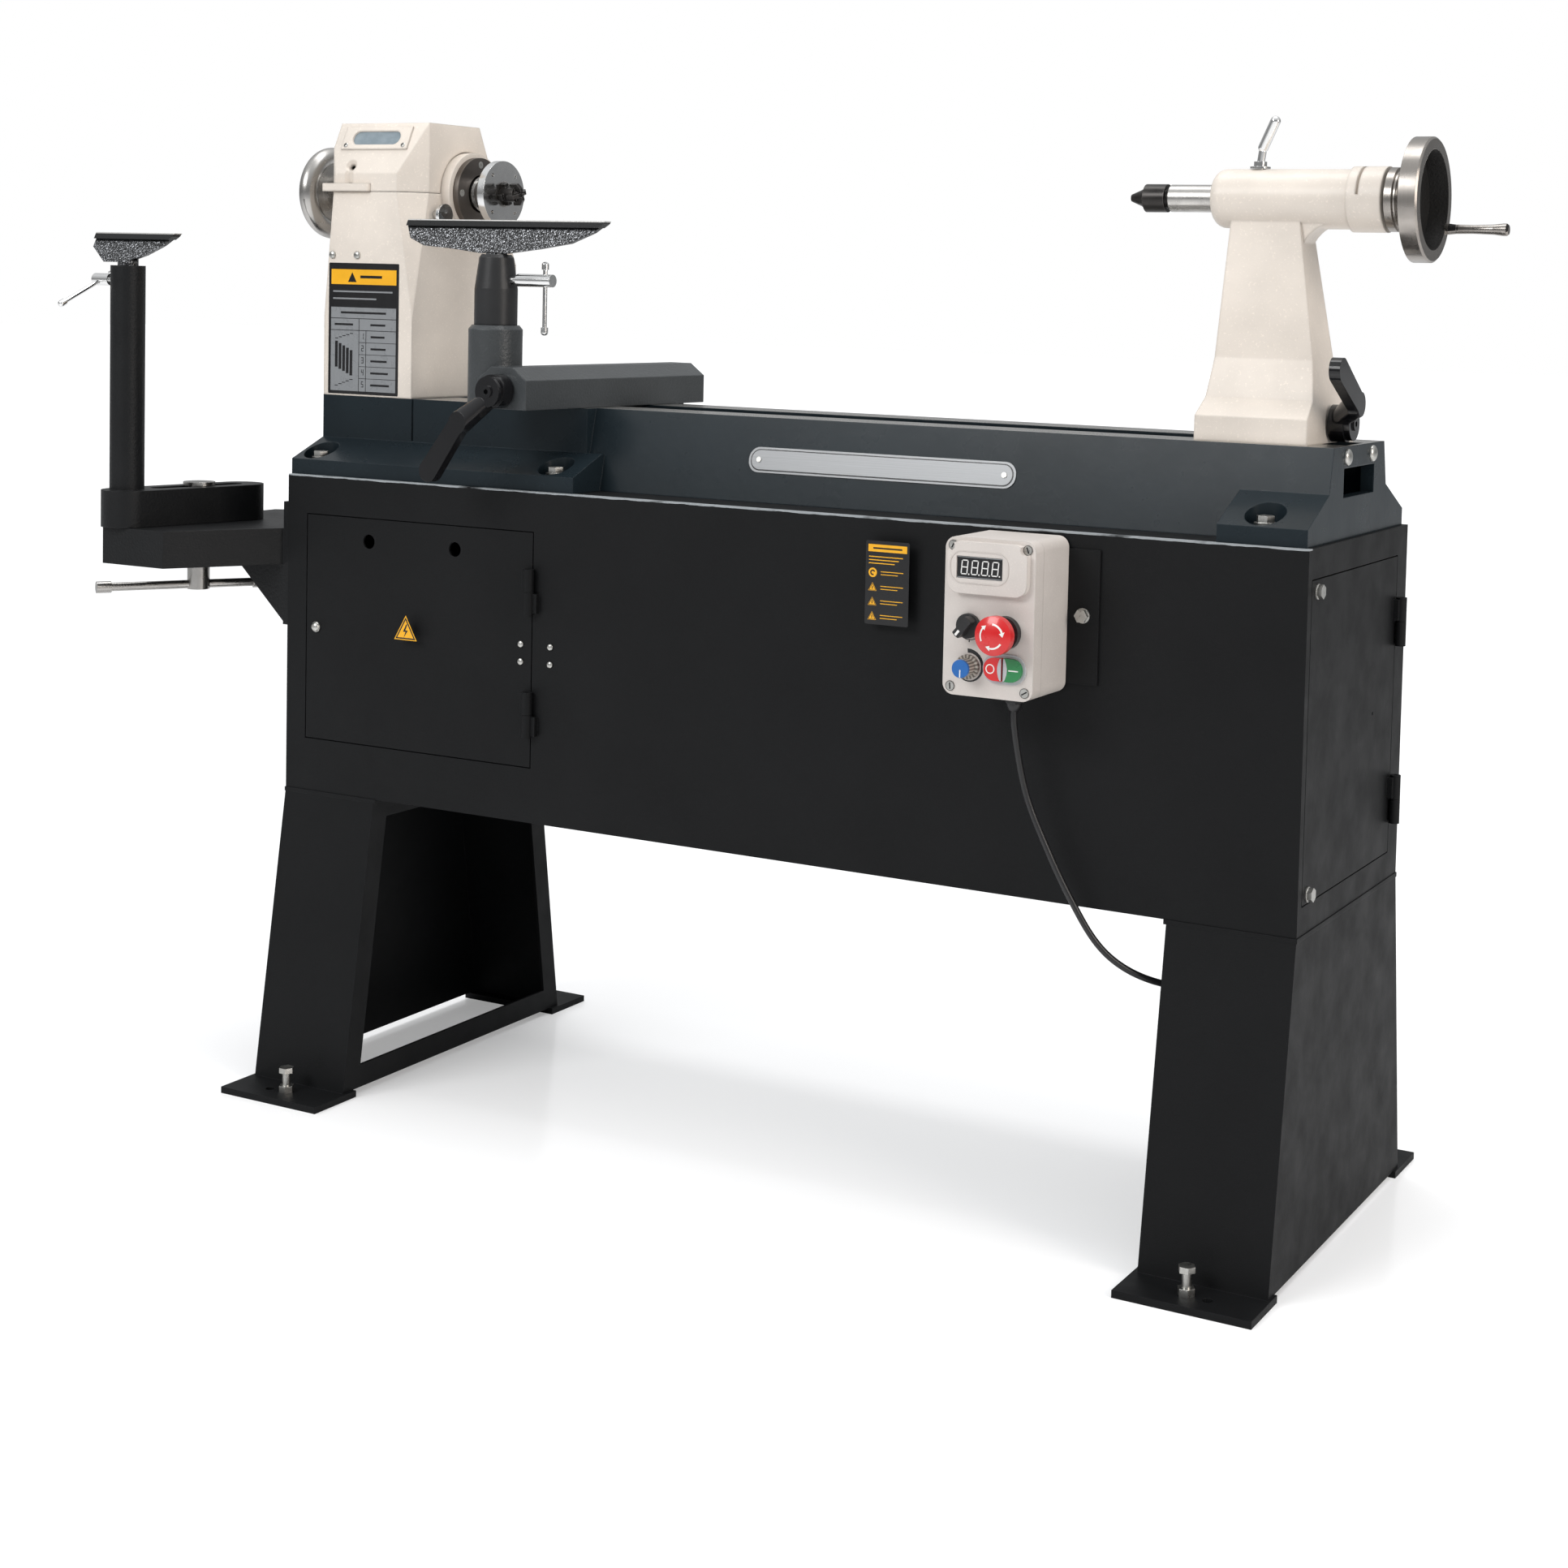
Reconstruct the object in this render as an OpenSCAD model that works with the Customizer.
// Floor-standing wood lathe: a cast bed on a sheet-steel cabinet, with a belt-driven headstock,
// a sliding tailstock, a swivelling tool-rest banjo and an outboard tool rest on the left end.
// X runs along the bed towards the tailstock, -Y faces the operator, +Z is up.
// The origin is on the floor, at the centre of the four anchor holes.

/* [Cabinet and legs] */
// Length of the cabinet
cab_l = 1340; // [1330:1:1345]
// Depth of the cabinet, front to back
cab_d = 340; // [336:1:344]
// Height of the cabinet's underside above the floor
leg_h = 365; // [340:5:400]
// Height of the cabinet itself
cab_h = 397; // [390:1:400]
// Sheet thickness of the cabinet and its doors
sheet = 3; // [2:0.5:4]
// Width of each leg along the bed
leg_w = 142; // [120:2:160]
// Depth of each leg at the floor
leg_foot_d = 444; // [420:5:480]

/* [Bed and centres] */
// Height of the bed casting
bed_h = 98; // [96:1:100]
// Half width of the ways across the top
way_half = 86; // [84:1:88]
// Half width of the slot between the ways
slot_half = 30; // [28:1:32]
// Height of the spindle axis above the ways
swing_r = 260; // [255:1:265]

/* [Spindle and tailstock] */
// Spindle journal radius
spindle_r = 17.5; // [16:0.5:18]
// Faceplate radius
faceplate_r = 42; // [38:1:46]
// Tailstock quill radius
quill_r = 15; // [14:0.5:16]
// Tailstock handwheel radius
tail_wheel_r = 66; // [60:1:68]
// Outboard handwheel radius
out_wheel_r = 60; // [54:1:62]

/* [Tool rests] */
// Swivel of the banjo arm from square across the bed, in degrees
banjo_yaw = 3.3; // [0:0.1:5]
// Length of the banjo arm
banjo_l = 350; // [340:5:360]
// Width of the banjo arm
banjo_w = 74; // [70:1:76]
// Radius of the tool-rest stems
stem_r = 12.5; // [12:0.5:13]

/* [Hidden] */
$fn = 64;

// Clearances: a running fit, a gap between sheet parts, and the overshoot of a cut.
run_gap = 0.05;
free_gap = 0.3;
door_gap = 1.5;
over = 1;

// Foot plates: their thickness, the anchor holes' radius and the levelling bolts in them.
foot_t = 8;
anchor_r = 5.5;
leveller_r = 5;
leveller_af = 16;
leveller_head_z = 32;

// Colours
c_sheet = [0.13, 0.14, 0.15];
c_bed = [0.20, 0.23, 0.25];
c_cream = [0.91, 0.87, 0.82];
c_grey = [0.30, 0.32, 0.33];
c_steel = [0.62, 0.61, 0.60];
c_chrome = [0.82, 0.83, 0.84];
c_black = [0.05, 0.05, 0.05];
c_box = [0.85, 0.84, 0.83];

// Main levels and half sizes
cab_x = cab_l / 2;
cab_y = cab_d / 2;
cab_top = leg_h + cab_h;
way_z = cab_top + bed_h;
axis_z = way_z + swing_r;

// Bed casting
bed_x0 = -cab_x - 2;
bed_x1 = cab_x - 5;
flange_half = cab_y - 8;        // half width of the bolted flange
flange_z = cab_top + 19;        // top of the flange rim
waist_half = way_half + 11;     // half width where the end pads start to slope out
waist_z = way_z - 48;
foot_half = way_half + 22;      // half width of the wall where it meets the cabinet
seat_half = way_half + 19;      // half width of the block under the headstock
seat_z = way_z - 54;
seat_x1 = -262;                 // right end of that block
flange_x1 = -240;               // right end of the left flange
pad_x0 = 567;                   // left end of the right-hand pads
way_t = 23;                     // thickness of the ways
cavity_half = 70;               // half width of the hollow below the ways
window_half = 52;               // half width of the opening in the right end
slot_x0 = -520;                 // left end of the slot between the ways
belt_x0 = -655;                 // belt opening
belt_x1 = -548;
belt_half = 62;
bolt_y = flange_half - 24;
bolt_xs = [-645, -282, 611];
pocket_r = 21.5;
hs_bolt_xs = [-640, -562];
hs_bolt_y = 82;
stop_screw_y = 43;              // screws of the stop bar on the bed's right end
nut_af = 17;                    // width across flats of the M10 bolts
m10_hole_r = 5.5;
m10_r = 5.4;

// Headstock
hs_x0 = bed_x0;
hs_x1 = -530;
hs_half = seat_half;
hs_kink_z = way_z + 100;        // height where the front corner starts to chamfer
hs_split_z = axis_z - 2;        // the cover closes down to this level
hs_wall = 9;
cover_band = 23;                // height of the cover's upright lower band
cover_top = way_z + 346;
cover_front_y = -75;            // front and back edges of the cover's flat top
cover_back_y = 24;
cover_slope = (hs_half + cover_front_y) / (cover_top - hs_split_z - cover_band);
cover_tilt = atan(cover_slope); // lean of the front face from upright
back_split_y = cover_back_y + cover_slope * (cover_top - hs_split_z);
cover_hinge_y = back_split_y + 7;
cover_hinge_z = hs_split_z;
cover_wall = 5;
window_x = -606;
window_z = cover_top - 20;
window_l = 76;
window_r = 9.5;
lock_pos = [-63, way_z + 231];  // spindle lock, as [y, z]
barrel_r = 52;
barrel_x1 = hs_x1 + 14;
rear_barrel_r = 42;
front_bearing_r = 36;
rear_bearing_r = 31;
cap_screw_ring = 37;            // radius of the bearing cap's ring of screws

// Spindle
nose_x = -505;                  // shoulder that the faceplate screws up to
face_x = -471;                  // the faceplate's face
spindle_x0 = -764;
handwheel_x = spindle_x0 - 1;
plate_hole_ring = 33;           // radius of the faceplate's ring of screw holes
plate_hole_r = 2.5;

// Belt drive
belt_step_w = 13;
pulley_x0 = -632;
spindle_steps = [48, 43, 38, 33, 28];
motor_steps = [28, 33, 38, 43, 48];
belt_t = 4;
motor_z = leg_h + 235;
motor_x0 = -520;
motor_x1 = -290;
motor_r = 85;
motor_shaft_r = 12;

// Doors
door_x0 = -638;
door_x1 = -291;
door_z0 = leg_h + 67;
door_z1 = cab_top - 49;
side_y0 = -157;
side_y1 = 134;
side_z0 = leg_h + 31;
side_z1 = cab_top - 33;
knuckle_r = 6;
knuckle_h = 27;
hinge_off = knuckle_r + 0.5;
pin_r = 2.5;
front_hinge_zs = [door_z0 + 37, door_z1 - 97];
side_hinge_zs = [side_z0 + 33, side_z1 - 100];
switch_zs = [door_z0 + 126, door_z0 + 147];     // screws of the interlock switch and of its key

// Control box
box_x0 = 303;
box_x1 = 407;
box_z0 = cab_top - 170;
box_z1 = cab_top - 4;
box_back = -cab_y - sheet;
box_front = -255;
box_seam = -235;
switch_pos = [333, 666];
estop_pos = [375, 662];
knob_pos = [333, 623];
push_pos = [375, 624];
push_half = 22;                 // centre line to outer end of each push button
push_r = 12.5;
push_gap = 0.4;
post_inset = 9;                 // corner screws of the box from its edges
cable_entry = [355, 675];       // hole behind the box, as [x, z]
box_bolt = [425, 675];          // bolt that holds the box to the cabinet
// Centre line of the cable, from the gland to the motor space
cable_path = [
    [367, -213, 586], [368, -213, 548], [380, -206, 480], [405, -200, 420], [428, -194, 374],
    [453, -184, 330], [478, -172, 304], [508, -150, 286], [545, -120, 276], [590, -90, 272]
];

// Tailstock
ts_x0 = 506;
ts_x1 = 632;
ts_half = 78;
ts_base_h = 27;
ts_foot_z = way_z + 46;          // the base's shoulder ends and the column starts here
ts_barrel_r = 32;
ts_barrel_x0 = 494;
ts_collar_r = 35;
ts_collar_x0 = 650;
ts_collar_x1 = 688;
quill_x0 = 442;
quill_x1 = 622;
taper_r = 9;
screw_r = 8;
cam_z = way_z + 21.5;
cam_r = 10;
eye_r = 12.5;
quill_lock_x = 543;
tail_bolt_x = 569;
tail_plate_gap = 1.5;           // the clamp plate hangs this far below the ways when released

// Lever with an offset paddle, used on both clamps
lever_hub_r = 20;
lever_hub_h = 24;
lever_bolt_r = 7.5;
lever_rise = 44;
lever_elbow = 46;
lever_reach = 120;
lever_w = 26;
lever_t = 12;

// Banjo, in its own frame: +Y along the arm, origin on the clamp bolt
banjo_x = -301;
banjo_front = -206;
banjo_rear = banjo_front + banjo_l;
banjo_z = way_z + free_gap;
banjo_top = way_z + 50;
banjo_post = [-39, banjo_front + 33];
socket_r = 32;
socket_z = way_z + 98;
holder_r = 25.5;
holder_top_r = 20.5;
holder_stem_r = 19;
clamp_z = way_z + 152;
rest_top_z = way_z + 223;
banjo_post_world = [
    banjo_x + banjo_post[0] * cos(banjo_yaw) + banjo_post[1] * sin(banjo_yaw),
    -banjo_post[0] * sin(banjo_yaw) + banjo_post[1] * cos(banjo_yaw)
];

// Outboard rest
table_z = way_z - 168;
table_t = 46;
plate_t = 12;
t_bolt = [-820, -170];
out_post = [-842, -272];
out_arm_h = 46;
out_arm_r = 31;
out_post_r = 21;
out_post_z = way_z + 158;
out_rest_z = way_z + 199;
out_clamp_z = way_z + 140;
t_bolt_z = table_z - table_t - 22;      // lower end of the T-bolt, inside the clamp hub
slot_r = 10.5;
arm_dir = atan2(out_post[1] - t_bolt[1], out_post[0] - t_bolt[0]);
arm_len = norm(out_post - t_bolt);

// ---------------------------------------------------------------- helpers

// A 2D outline in Y and Z, drawn as [y, z], swept along X from x0 to x1
module along_x(x0, x1) {
    translate([x0, 0, 0]) rotate([90, 0, 90]) linear_extrude(x1 - x0) children();
}

// A cylinder along X from x0 to x1
module rod_x(r, x0, x1) {
    translate([x0, 0, 0]) rotate([0, 90, 0]) cylinder(r = r, h = x1 - x0);
}

// A cylinder along Y from y0 to y1
module rod_y(r, y0, y1) {
    translate([0, y1, 0]) rotate([90, 0, 0]) cylinder(r = r, h = y1 - y0);
}

// A box given by its two corners
module slab(lo, hi) {
    translate(lo) cube(hi - lo);
}

// The child and its mirror image in the plane y = 0
module both_sides() {
    children();
    mirror([0, 1, 0]) children();
}

// A polygon made symmetrical about the Z axis from its right half
module symmetric(half) {
    n = len(half);
    polygon(concat(half, [for (i = [n - 1:-1:0]) [-half[i][0], half[i][1]]]));
}

// A hexagon prism by its width across flats
module hexagon(af, h) {
    cylinder(r = af / sqrt(3), h = h, $fn = 6);
}

// A rod from point a to point b with ball ends
module strut(a, b, r) {
    hull() for (p = [a, b]) translate(p) sphere(r, $fn = 24);
}

// A domed head standing on z = 0
module dome(r, h) {
    steps = 6;
    rotate_extrude() polygon(concat(
        [[0, 0]], [for (i = [0:steps]) [r * cos(i * 90 / steps), h * sin(i * 90 / steps)]]
    ));
}

// Clamp lever: hub along +Z, paddle offset outwards and pointing along +X
module offset_lever(shaft_r) {
    difference() {
        union() {
            cylinder(r = lever_hub_r, h = lever_hub_h - 7);
            cylinder(r = lever_hub_r - 2, h = lever_hub_h);
            hull() {
                translate([lever_hub_r - 9, 0, 4])
                    cylinder(r = 9, h = lever_t, $fn = 32);
                translate([lever_elbow, 0, lever_rise - lever_t])
                    cylinder(r = lever_w / 2, h = lever_t, $fn = 32);
            }
            hull() {
                translate([lever_elbow, 0, lever_rise - lever_t])
                    cylinder(r = lever_w / 2 - 2, h = lever_t, $fn = 32);
                translate([lever_reach, 0, lever_rise - lever_t])
                    cylinder(r = lever_w / 2, h = lever_t, $fn = 32);
            }
        }
        translate([0, 0, -over]) cylinder(r = shaft_r, h = lever_hub_h - 6);
        cylinder(r = lever_bolt_r - 0.01, h = lever_hub_h + over);
    }
}

// Steel clamp shaft along X with the lever's bolt on its right end, which is at x = 0
module lever_shaft(l) {
    rod_x(cam_r, -l, -lever_hub_h + 15);
    difference() {
        rod_x(lever_bolt_r, -lever_hub_h + 14, 2);
        translate([-2, 0, 0]) rotate([0, 90, 0]) hexagon(6, 8);
    }
}

// Hexagon-head bolt pointing down from the origin, with a washer and a nut on its end
module flange_bolt(r, grip, washer_r = 12) {
    cylinder(r = washer_r, h = 2.5);
    translate([0, 0, 2.5]) hexagon(nut_af, 7);
    translate([0, 0, -grip - 10]) cylinder(r = r, h = grip + 11);
    translate([0, 0, -grip - 8]) hexagon(nut_af, 8);
}

// Cross screw of a tool-rest clamp, pointing along +X from a post surface at x = 0
module tee_screw(thread_l, barrel_l, bar_down, bar_up) {
    rod_x(4.95, -thread_l, 9);
    rod_x(7.5, 8, barrel_l);
    bar_x = barrel_l - 11;
    translate([bar_x, 0, -bar_down]) cylinder(r = 2.6, h = bar_down + bar_up);
    for (z = [-bar_down, bar_up]) {
        s = z < 0 ? -1 : 1;
        translate([bar_x, 0, z - 3]) cylinder(r = 4.2, h = 6);
        translate([bar_x, 0, z + 3 * s]) rotate([s < 0 ? 180 : 0, 0, 0]) dome(4.2, 3.4);
    }
}

// Tool-rest blade: an outline in X and Z given a leaning, lipped cross-section
module rest_blade(outline, z_top, lean) {
    depth = z_top - min([for (p = outline) p[1]]);
    intersection() {
        translate([0, 40, 0]) rotate([90, 0, 0]) linear_extrude(80) polygon(outline);
        along_x(-400, 400) union() {
            polygon([
                [lean - 9, z_top - 6], [lean, z_top], [0, z_top - depth - 1], [-9, z_top - depth - 1]
            ]);
            polygon([[lean - 14, z_top - 8], [lean - 10, z_top], [lean + 3, z_top], [lean, z_top - 8]]);
        }
    }
}

// ---------------------------------------------------------------- cabinet, doors and legs

module front_hinge_at(zs, raised) {
    for (z = zs) translate([door_x1, -cab_y - hinge_off, z + (raised ? knuckle_h + 0.4 : 0)]) children();
}

module side_hinge_at(zs, raised) {
    for (z = zs) translate([cab_x + hinge_off, side_y1, z + (raised ? knuckle_h + 0.4 : 0)]) children();
}

// One hinge knuckle with a leaf that reaches back to the sheet; dir is the leaf's direction
module knuckle(dir, bore) {
    difference() {
        union() {
            cylinder(r = knuckle_r, h = knuckle_h);
            rotate([0, 0, dir]) translate([0, 0, 2]) cube([11, hinge_off, knuckle_h - 4]);
        }
        translate([0, 0, -over]) cylinder(r = bore, h = knuckle_h + 2 * over);
    }
}

module front_opening(margin, y0, y1) {
    slab([door_x0 - margin, y0, door_z0 - margin], [door_x1 + margin, y1, door_z1 + margin]);
}

module side_opening(margin, x0, x1) {
    slab([x0, side_y0 - margin, side_z0 - margin], [x1, side_y1 + margin, side_z1 + margin]);
}

module cabinet() {
    stop_w = 12;
    color(c_sheet) difference() {
        union() {
            difference() {
                slab([-cab_x, -cab_y, leg_h], [cab_x, cab_y, cab_top]);
                slab([-cab_x + sheet, -cab_y + sheet, leg_h + sheet],
                    [cab_x - sheet, cab_y - sheet, cab_top - sheet]);
            }
            // frames that the doors close against
            front_opening(stop_w, -cab_y + sheet, -cab_y + 2 * sheet);
            side_opening(stop_w, cab_x - 2 * sheet, cab_x - sheet);
        }
        front_opening(door_gap, -cab_y - over, -cab_y + sheet);
        front_opening(-stop_w, -cab_y, -cab_y + 3 * sheet);
        side_opening(door_gap, cab_x - sheet, cab_x + over);
        side_opening(-stop_w, cab_x - 3 * sheet, cab_x);
        // belt opening and bed bolts
        slab([belt_x0, -belt_half, cab_top - 2 * sheet], [belt_x1, belt_half, cab_top + over]);
        both_sides() for (x = bolt_xs)
            translate([x, bolt_y, cab_top - 2 * sheet]) cylinder(r = m10_hole_r, h = 3 * sheet);
        // clearance holes for the door fastenings
        latch_at() rod_y(4.5, -over, 4 * sheet);
        side_bolts_at() rod_x(5, -3 * sheet, over);
        // cable entry behind the control box, outboard bracket bolts and switch screws
        translate([cable_entry[0], 0, cable_entry[1]]) rod_y(12, -cab_y - over, -cab_y + 2 * sheet);
        translate([box_bolt[0], 0, box_bolt[1]]) rod_y(4.1, -cab_y - over, -cab_y + 2 * sheet);
        bracket_bolts_at() rod_x(m10_hole_r, -2 * sheet, 2 * sheet);
        switch_screws_at() rod_y(2.1, -2 * sheet, 2 * sheet);
        motor_bolts_at() rod_y(m10_hole_r, -2 * sheet, 2 * sheet);
    }
    color(c_sheet) front_hinge_at(front_hinge_zs, false) knuckle(0, pin_r);
    color(c_sheet) side_hinge_at(side_hinge_zs, false) knuckle(90, pin_r);
}

module latch_at() {
    translate([door_x0 + 16, -cab_y, (door_z0 + door_z1) / 2]) children();
}

module side_bolts_at() {
    for (z = [side_z0 + 9, side_z1 - 12]) translate([cab_x, side_y0 + 16, z]) children();
}

module switch_screws_at() {
    for (z = switch_zs) translate([door_x1 + 28, -cab_y, z]) children();
}

module key_screws_at() {
    for (z = switch_zs) translate([door_x1 - 15, -cab_y, z]) children();
}

module bracket_bolts_at() {
    for (y = [-135, 85], z = [table_z - 100, table_z + 12])
        translate([-cab_x, y, z]) children();
}

module motor_bolts_at() {
    for (x = [-480, -410, -340]) translate([x, cab_y, motor_z - 118]) children();
}

module leg_outline(inset, z0, z1) {
    slope = (leg_foot_d / 2 - cab_y) / leg_h;
    symmetric([[cab_y + slope * (leg_h - z0) - inset, z0], [cab_y + slope * (leg_h - z1) - inset, z1]]);
}

// The left leg; the right one is its mirror image
module leg() {
    wall = 4;
    lip = 28;
    top_t = 5;
    x0 = -cab_x;
    x1 = x0 + leg_w;
    difference() {
        union() {
            difference() {
                along_x(x0, x1) leg_outline(0, foot_t, leg_h - top_t);
                along_x(x0 + wall, x1 - wall) leg_outline(wall, -over, leg_h - top_t - wall);
                along_x(x1 - 2 * wall, x1 + over) leg_outline(lip, lip + 8, leg_h - top_t - 20);
            }
            slab([x0 - 1, -cab_y - 1, leg_h - top_t], [x1 + 3, cab_y + 1, leg_h]);
            both_sides() slab([x0 - 3, leg_foot_d / 2 - 20, 0], [x1 + 5, leg_foot_d / 2 + 55, foot_t]);
        }
        both_sides() anchor_at() translate([0, 0, -over]) cylinder(r = anchor_r, h = 20);
        both_sides() leveller_at() translate([0, 0, -over]) cylinder(r = leveller_r + run_gap, h = 20);
    }
}

module anchor_at() {
    translate([-cab_x + leg_w / 2 - 18, leg_foot_d / 2 + 29, 0]) children();
}

module leveller_at() {
    translate([-cab_x + leg_w / 2 + 6, leg_foot_d / 2 + 27, 0]) children();
}

module left_leg() {
    color(c_sheet) leg();
}

module right_leg() {
    color(c_sheet) mirror([1, 0, 0]) leg();
}

module levelling_bolts() {
    color(c_steel) both_sides() for (m = [0, 1]) mirror([m, 0, 0]) leveller_at() {
        translate([0, 0, 1]) cylinder(r = leveller_r, h = leveller_head_z + 1);
        translate([0, 0, leveller_head_z]) hexagon(leveller_af, 6.4);
        translate([0, 0, foot_t]) hexagon(leveller_af, 8);
    }
}

module front_door() {
    color(c_sheet) difference() {
        front_opening(0, -cab_y, -cab_y + sheet);
        for (dx = [98, 231]) translate([door_x0 + dx, 0, door_z1 - 28])
            rod_y(9, -cab_y - over, -cab_y + 2 * sheet);
        latch_at() rod_y(3, -over, 2 * sheet);
        key_screws_at() rod_y(2.05, -over, 2 * sheet);
    }
    color(c_sheet) front_hinge_at(front_hinge_zs, true)
        mirror([1, 0, 0]) knuckle(0, pin_r + run_gap);
}

module front_door_screws() {
    color(c_steel) {
        latch_at() {
            rod_y(3, -1, 10);
            rod_y(6.5, -2, 0);
            translate([0, -2, 0]) rotate([90, 0, 0]) dome(6, 4);
        }
        key_screws_at() {
            rod_y(2.05, -1, 9);
            rod_y(4, -1.2, 0);
            translate([0, -1.2, 0]) rotate([90, 0, 0]) dome(4, 1.8);
        }
    }
}

module side_door() {
    color(c_sheet) difference() {
        side_opening(0, cab_x - sheet, cab_x);
        side_bolts_at() rod_x(4.1, -2 * sheet, over);
        translate([0, 61, (side_z0 + side_z1) / 2]) rod_x(2, cab_x - 2 * sheet, cab_x + over);
    }
    color(c_sheet) side_hinge_at(side_hinge_zs, true)
        mirror([0, 1, 0]) knuckle(90, pin_r + run_gap);
}

module side_door_bolts() {
    color(c_steel) side_bolts_at() {
        rod_x(4, -9, 1);
        rod_x(8, 0, 1.5);
        translate([1.5, 0, 0]) rotate([0, 90, 0]) hexagon(13, 5.5);
    }
}

module hinge_pins() {
    color(c_steel) {
        front_hinge_at(front_hinge_zs, false) translate([0, 0, 1]) cylinder(r = pin_r, h = 2 * knuckle_h - 3);
        side_hinge_at(side_hinge_zs, false) translate([0, 0, 1]) cylinder(r = pin_r, h = 2 * knuckle_h - 3);
        translate([0, cover_hinge_y, cover_hinge_z]) rod_x(3, hs_x0 + 12, hs_x1 - 12);
    }
}

// Interlock switch on the cabinet, beside the key that the door carries
module door_switch() {
    color(c_black) difference() {
        slab([door_x1 + 17, -cab_y + sheet, door_z0 + 112], [door_x1 + 45, -cab_y + 32, door_z0 + 165]);
        switch_screws_at() rod_y(2.05, -over, 20);
    }
}

// ---------------------------------------------------------------- bed

module bed_wall_outline() {
    symmetric([[foot_half, cab_top], [way_half, way_z]]);
}

module seat_outline() {
    symmetric([[flange_half, cab_top], [flange_half, flange_z], [seat_half, seat_z], [seat_half, way_z]]);
}

module flange_outline() {
    symmetric([[flange_half, cab_top], [flange_half, flange_z], [seat_half, seat_z]]);
}

module pad_outline() {
    symmetric([[flange_half, cab_top], [flange_half, flange_z], [waist_half, waist_z]]);
}

module bed() {
    end_wall = 15;
    notch = 6;
    color(c_bed) difference() {
        union() {
            along_x(seat_x1 - over, bed_x1) bed_wall_outline();
            along_x(bed_x0, seat_x1) seat_outline();
            along_x(seat_x1 - over, flange_x1) flange_outline();
            along_x(pad_x0, bed_x1) pad_outline();
        }
        // hollow below the ways, crossed by three low ribs
        difference() {
            slab([slot_x0 + 15, -cavity_half, cab_top - over],
                [bed_x1 - end_wall, cavity_half, way_z - way_t]);
            for (x = [-250, 60, 370])
                slab([x - 6, -cavity_half - over, cab_top], [x + 6, cavity_half + over, seat_z - 1]);
        }
        slab([bed_x1 - end_wall - over, -window_half, seat_z],
            [bed_x1 + over, window_half, way_z - way_t]);
        slab([slot_x0, -slot_half, way_z - way_t - over], [bed_x1 - notch, slot_half, way_z + over]);
        slab([bed_x1 - notch, -window_half, way_z - way_t - over],
            [bed_x1 + over, window_half, way_z + over]);
        slab([belt_x0, -belt_half, cab_top - over], [belt_x1, belt_half, way_z + over]);
        both_sides() {
            for (x = bolt_xs) translate([x, bolt_y, cab_top - over]) {
                cylinder(r = m10_hole_r, h = 60);
                translate([0, 0, flange_z - cab_top]) cylinder(r = pocket_r, h = 60);
            }
            for (x = hs_bolt_xs) translate([x, hs_bolt_y, way_z - 30]) cylinder(r = m10_hole_r, h = 40);
            slab([hs_x1 + 1, seat_half - 2, seat_z + 1], [hs_x1 + 4, seat_half + over, way_z + over]);
            translate([bed_x1 - notch, stop_screw_y, way_z - way_t / 2]) rod_x(4.05, -24, 0);
        }
    }
}

module bed_stop_bar() {
    color(c_bed) difference() {
        slab([bed_x1 - 6, -window_half, way_z - way_t], [bed_x1, window_half, way_z]);
        both_sides() translate([bed_x1 - 7, stop_screw_y, way_z - way_t / 2]) rod_x(4.05, 0, 8);
    }
}

module hex_bolts() {
    color(c_steel) {
        both_sides() for (x = bolt_xs) translate([x, bolt_y, flange_z])
            flange_bolt(m10_r, flange_z - cab_top + sheet);
        both_sides() for (x = hs_bolt_xs) translate([x, hs_bolt_y, way_z + 12]) {
            hexagon(nut_af, 7);
            translate([0, 0, -37]) cylinder(r = m10_r, h = 38);
        }
        bracket_bolts_at() translate([-plate_t, 0, 0]) rotate([0, -90, 0]) {
            cylinder(r = 10, h = 2);
            hexagon(nut_af, 8);
            translate([0, 0, -plate_t - sheet - 9]) cylinder(r = m10_r, h = plate_t + sheet + 10);
            translate([0, 0, -plate_t - sheet - 8]) hexagon(nut_af, 8);
        }
        motor_bolts_at() translate([0, -sheet - 6, 0]) rotate([90, 0, 0]) {
            hexagon(nut_af, 7);
            translate([0, 0, -sheet - 6]) cylinder(r = m10_r, h = sheet + 7);
        }
        translate([box_bolt[0], box_back, box_bolt[1]]) rotate([90, 0, 0]) {
            cylinder(r = 8, h = 1.5);
            hexagon(13, 7);
            translate([0, 0, -14]) cylinder(r = 4, h = 15);
        }
    }
}

// Button-head screw pointing along -X from the origin
module button_screw_x(head_r, shank_r, l) {
    rod_x(shank_r, -l, 1);
    rod_x(head_r, 0, 1);
    translate([1, 0, 0]) rotate([0, 90, 0]) dome(head_r, head_r * 0.5);
}

module cap_screws_at() {
    for (a = [0:90:270]) rotate([a, 0, 0]) translate([0, 0, cap_screw_ring]) children();
}

module small_screws() {
    color(c_steel) {
        both_sides() translate([bed_x1, stop_screw_y, way_z - way_t / 2]) button_screw_x(9, 4, 22);
        translate([barrel_x1 + 6, 0, axis_z]) cap_screws_at() {
            rod_x(2.5, -14, 1);
            difference() {
                rod_x(4.4, 0, 2);
                translate([1, 0, 0]) rotate([0, 90, 0]) hexagon(4, 2);
            }
        }
        headstock_screws_at() rotate([0, 0, -90]) button_screw_x(5, 2.4, 8);
        switch_screws_at() rotate([0, 0, -90]) button_screw_x(4, 2, 14);
        box_posts() {
            rod_y(3.6, box_front + 1, box_front + 16);
            rod_y(5.1, box_front - 1, box_front + 1.9);
        }
    }
}

// ---------------------------------------------------------------- headstock

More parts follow.
